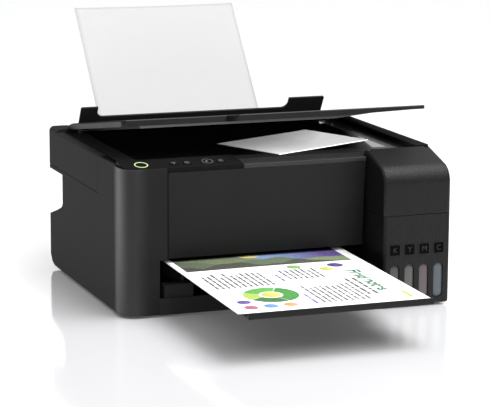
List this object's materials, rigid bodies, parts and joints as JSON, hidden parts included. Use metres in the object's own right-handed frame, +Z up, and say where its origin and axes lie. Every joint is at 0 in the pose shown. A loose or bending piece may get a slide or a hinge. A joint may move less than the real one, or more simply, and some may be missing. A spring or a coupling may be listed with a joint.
{
  "type": "inkjet printer",
  "caption": "Inkjet printer with flatbed scanner, raised lid, front ink tanks behind slot windows, rear sheet feed and a pulled-out paper tray.",
  "frame": {"origin": "floor, middle of the space taken with the tray pulled out and a sheet loaded", "axes": "+X to the printer's left-to-right as seen from the front, +Y to the back, +Z up"},
  "size_m": [0.375, 0.6082, 0.307],
  "materials": {
    "case_plastic": "fine spark texture",
    "gloss_plastic": "polished",
    "button_plastic": "satin",
    "inner_plastic": "moulded",
    "cap_plastic": "moulded",
    "black_ink": "translucent",
    "yellow_ink": "translucent",
    "magenta_ink": "translucent",
    "cyan_ink": "translucent",
    "tube_plastic": "smooth",
    "rubber": "matt",
    "steel": "rolled",
    "motor_metal": "plated",
    "pulley_brass": "turned",
    "glass": "float glass",
    "paper": "uncoated",
    "board": "lacquered",
    "supply_case": "moulded"
  },
  "bodies": {
    "case": {"base_pan": "case_plastic", "rubber_feet": "rubber", "left_case": "case_plastic", "left_upper_cover": "case_plastic", "front_panel": "case_plastic", "control_panel": "gloss_plastic", "front_trim": "case_plastic", "right_case": "case_plastic", "rear_case": "case_plastic", "case_screws": "steel", "tank_case": "case_plastic", "black_tank": "black_ink", "yellow_tank": "yellow_ink", "magenta_tank": "magenta_ink", "cyan_tank": "cyan_ink", "ink_tubes": "tube_plastic", "hopper_plate": "case_plastic", "feeder_housing": "case_plastic", "main_frame": "steel", "feed_motor": "motor_metal", "platen": "inner_plastic", "carriage_rail": "steel", "timing_belt": "rubber", "carriage_motor": "motor_metal", "capping_station": "inner_plastic", "power_supply": "supply_case", "logic_board": "board", "ac_inlet": "supply_case"},
    "scanner": {"scanner_tub": "inner_plastic", "scanner_glass": "glass", "scanner_bezel": "gloss_plastic", "photo_card": "paper"},
    "sensor": {"sensor_bar": "inner_plastic"},
    "lid": {"document_lid": "case_plastic", "lid_pad": "inner_plastic"},
    "tank_lid": {"tank_cover": "case_plastic"},
    "guard": {"feeder_guard": "case_plastic"},
    "support": {"paper_support": "case_plastic"},
    "guide": {"edge_guide": "case_plastic"},
    "sheet": {"blank_sheet": "paper"},
    "tray": {"output_tray": "case_plastic"},
    "extension": {"tray_extension": "case_plastic"},
    "page": {"printed_page": "paper"},
    "carriage": {"print_carriage": "inner_plastic", "print_head": "motor_metal"},
    "drive_wheel": {"drive_pulley": "pulley_brass"},
    "idler_wheel": {"idler_pulley": "pulley_brass"},
    "feed": {"feed_roller": "rubber"},
    "exit": {"exit_roller": "rubber"},
    "pickup": {"pickup_roller": "rubber"},
    "gear": {"drive_gear": "inner_plastic"},
    "black_cap": {"black_cap": "cap_plastic"},
    "yellow_cap": {"yellow_cap": "cap_plastic"},
    "magenta_cap": {"magenta_cap": "cap_plastic"},
    "cyan_cap": {"cyan_cap": "cap_plastic"},
    "power_button": {"power_button": "button_plastic"},
    "network_button": {"network_button": "button_plastic"},
    "status_button": {"status_button": "button_plastic"},
    "mono_copy_button": {"mono_copy_button": "button_plastic"},
    "colour_copy_button": {"colour_copy_button": "button_plastic"}
  },
  "joints": [
    {"name": "scanner_lift", "type": "hinge", "parent": "case", "child": "scanner", "pos_m": [0, 0.182, 0.176], "axis": [-1, 0, 0], "range_deg": [0, 30]},
    {"name": "lid_hinge", "type": "hinge", "parent": "scanner", "child": "lid", "pos_m": [0, 0.182, 0.176], "axis": [-1, 0, 0], "range_deg": [-9.3, 44]},
    {"name": "sensor_travel", "type": "slide", "parent": "scanner", "child": "sensor", "axis": [1, 0, 0], "range_m": [0, 0.295]},
    {"name": "tank_cover_hinge", "type": "hinge", "parent": "case", "child": "tank_lid", "pos_m": [0, -0.078, 0.1676], "axis": [-1, 0, 0], "range_deg": [0, 80]},
    {"name": "guard_hinge", "type": "hinge", "parent": "case", "child": "guard", "pos_m": [0, 0.19, 0.1723], "axis": [-1, 0, 0], "range_deg": [0, 45]},
    {"name": "support_slide", "type": "slide", "parent": "case", "child": "support", "axis": [0, 0.6293, 0.7771], "range_m": [-0.07, 0]},
    {"name": "edge_guide_slide", "type": "slide", "parent": "case", "child": "guide", "axis": [1, 0, 0], "range_m": [0, 0.065]},
    {"name": "sheet_pull", "type": "slide", "parent": "case", "child": "sheet", "axis": [0, 0.6293, 0.7771], "range_m": [0, 0.16]},
    {"name": "tray_slide", "type": "slide", "parent": "case", "child": "tray", "axis": [0, 1, 0], "range_m": [0, 0.11]},
    {"name": "extension_slide", "type": "slide", "parent": "tray", "child": "extension", "axis": [0, 1, 0], "range_m": [0, 0.11]},
    {"name": "page_pull", "type": "slide", "parent": "case", "child": "page", "axis": [0, -0.9998, -0.0211], "range_m": [0, 0.1]},
    {"name": "black_cap_hinge", "type": "hinge", "parent": "case", "child": "black_cap", "pos_m": [0.119, -0.10075, 0.1058], "axis": [-1, 0, 0], "range_deg": [0, 100]},
    {"name": "yellow_cap_hinge", "type": "hinge", "parent": "case", "child": "yellow_cap", "pos_m": [0.1371, -0.10075, 0.1058], "axis": [-1, 0, 0], "range_deg": [0, 100]},
    {"name": "magenta_cap_hinge", "type": "hinge", "parent": "case", "child": "magenta_cap", "pos_m": [0.1552, -0.10075, 0.1058], "axis": [-1, 0, 0], "range_deg": [0, 100]},
    {"name": "cyan_cap_hinge", "type": "hinge", "parent": "case", "child": "cyan_cap", "pos_m": [0.1733, -0.10075, 0.1058], "axis": [-1, 0, 0], "range_deg": [0, 100]},
    {"name": "power_button_press", "type": "slide", "parent": "case", "child": "power_button", "axis": [0, 0.225, -0.9744], "range_m": [0, 0.0012], "stiffness_N_per_m": 300},
    {"name": "network_button_press", "type": "slide", "parent": "case", "child": "network_button", "axis": [0, 0.225, -0.9744], "range_m": [0, 0.0012], "stiffness_N_per_m": 300},
    {"name": "status_button_press", "type": "slide", "parent": "case", "child": "status_button", "axis": [0, 0.225, -0.9744], "range_m": [0, 0.0012], "stiffness_N_per_m": 300},
    {"name": "mono_copy_button_press", "type": "slide", "parent": "case", "child": "mono_copy_button", "axis": [0, 0.225, -0.9744], "range_m": [0, 0.0012], "stiffness_N_per_m": 300},
    {"name": "colour_copy_button_press", "type": "slide", "parent": "case", "child": "colour_copy_button", "axis": [0, 0.225, -0.9744], "range_m": [0, 0.0012], "stiffness_N_per_m": 300},
    {"name": "drive_pulley_spin", "type": "hinge", "parent": "case", "child": "drive_wheel", "pos_m": [0.146, 0.082, 0.108], "axis": [0, 1, 0], "range_deg": [0, 2495]},
    {"name": "idler_pulley_spin", "type": "hinge", "parent": "case", "child": "idler_wheel", "pos_m": [-0.136, 0.082, 0.108], "axis": [0, 1, 0], "range_deg": [0, 2495]},
    {"name": "carriage_travel", "type": "slide", "parent": "case", "child": "carriage", "axis": [-1, 0, 0], "range_m": [0, 0.235]},
    {"name": "feed_spin", "type": "hinge", "parent": "case", "child": "feed", "pos_m": [0, 0.079, 0.052], "axis": [1, 0, 0], "continuous": true},
    {"name": "exit_spin", "type": "hinge", "parent": "case", "child": "exit", "pos_m": [0, -0.017, 0.0546], "axis": [1, 0, 0], "continuous": true},
    {"name": "pickup_spin", "type": "hinge", "parent": "case", "child": "pickup", "pos_m": [0, 0.11492, 0.103], "axis": [1, 0, 0], "continuous": true},
    {"name": "gear_spin", "type": "hinge", "parent": "case", "child": "gear", "pos_m": [0, 0.031, 0.0533], "axis": [1, 0, 0], "continuous": true}
  ],
  "couplings": [
    {"joint": "drive_pulley_spin", "follows": "carriage_travel", "rad_per_m": 185.19},
    {"joint": "idler_pulley_spin", "follows": "carriage_travel", "rad_per_m": 185.19},
    {"joint": "exit_spin", "follows": "feed_spin", "ratio": 1},
    {"joint": "pickup_spin", "follows": "feed_spin", "ratio": -0.38889},
    {"joint": "gear_spin", "follows": "feed_spin", "ratio": -0.72418}
  ]
}
